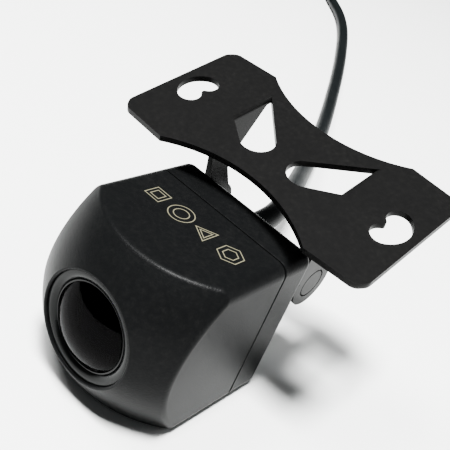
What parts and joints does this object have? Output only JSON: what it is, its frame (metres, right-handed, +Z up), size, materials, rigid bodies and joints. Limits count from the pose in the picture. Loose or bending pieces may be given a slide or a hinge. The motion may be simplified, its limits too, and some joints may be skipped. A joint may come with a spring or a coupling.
{
  "type": "backup camera",
  "caption": "Square vehicle reversing camera with a domed wide-angle lens, hinged in a slotted bow-tie bracket, with a plug-ended cable.",
  "frame": {"origin": "on the surface under the middle of the camera and bracket, cable left out", "axes": "+X to the right seen from the front, lens looks along -Y, +Z up"},
  "size_m": [0.1934, 0.2538, 0.0352],
  "materials": {
    "housing_plastic": "fine-grained satin black",
    "seal_rubber": "matt",
    "screw_steel": "black oxide",
    "washer_nylon": "matt",
    "bezel_black": "satin black",
    "barrel_black": "black anodised",
    "lens_glass": "coated, violet reflex",
    "holder_plastic": "matt black",
    "sensor_silicon": "glossy die",
    "circuit_board": "green solder mask",
    "component_black": "moulded package",
    "spacer_brass": "plain",
    "socket_white": "natural nylon",
    "lead_wire": "coloured insulation",
    "cable_jacket": "satin black",
    "tie_nylon": "black nylon",
    "bracket_paint": "satin black enamel",
    "plug_plastic": "black",
    "pin_gold": "plated"
  },
  "bodies": {
    "camera": {"front_housing": "housing_plastic", "rear_housing": "housing_plastic", "housing_seal": "seal_rubber", "housing_screws": "screw_steel", "lens_bezel": "bezel_black", "lens_barrel": "barrel_black", "front_lens_element": "lens_glass", "second_lens_element": "lens_glass", "lens_spacer": "barrel_black", "aperture_ring": "barrel_black", "third_lens_element": "lens_glass", "rear_lens_element": "lens_glass", "lens_retainer": "barrel_black", "lens_o_ring": "seal_rubber", "lens_holder": "holder_plastic", "infrared_filter": "lens_glass", "image_sensor": "sensor_silicon", "sensor_board": "circuit_board", "power_board": "circuit_board", "holder_screws": "screw_steel", "board_header": "holder_plastic", "board_spacers": "spacer_brass", "power_inductor": "component_black", "video_chip": "component_black", "cable_socket": "socket_white", "cable_grommet": "cable_jacket", "inner_leads": "lead_wire", "pivot_screws": "screw_steel", "pivot_washers": "washer_nylon", "cable": "cable_jacket", "cable_coil": "cable_jacket", "cable_tie": "tie_nylon", "plug_boot": "plug_plastic", "plug_body": "plug_plastic", "plug_seal": "seal_rubber", "plug_pins": "pin_gold"},
    "bracket": {"bracket": "bracket_paint"},
    "nut": {"coupling_nut": "plug_plastic"}
  },
  "joints": [
    {"name": "bracket_tilt", "type": "hinge", "parent": "camera", "child": "bracket", "pos_m": [0, 0.0123, 0.0157], "axis": [1, 0, 0], "range_deg": [-60, 12]},
    {"name": "nut_spin", "type": "hinge", "parent": "camera", "child": "nut", "pos_m": [-0.1661, 0.165, 0.0059], "axis": [0, 1, 0], "continuous": true}
  ]
}
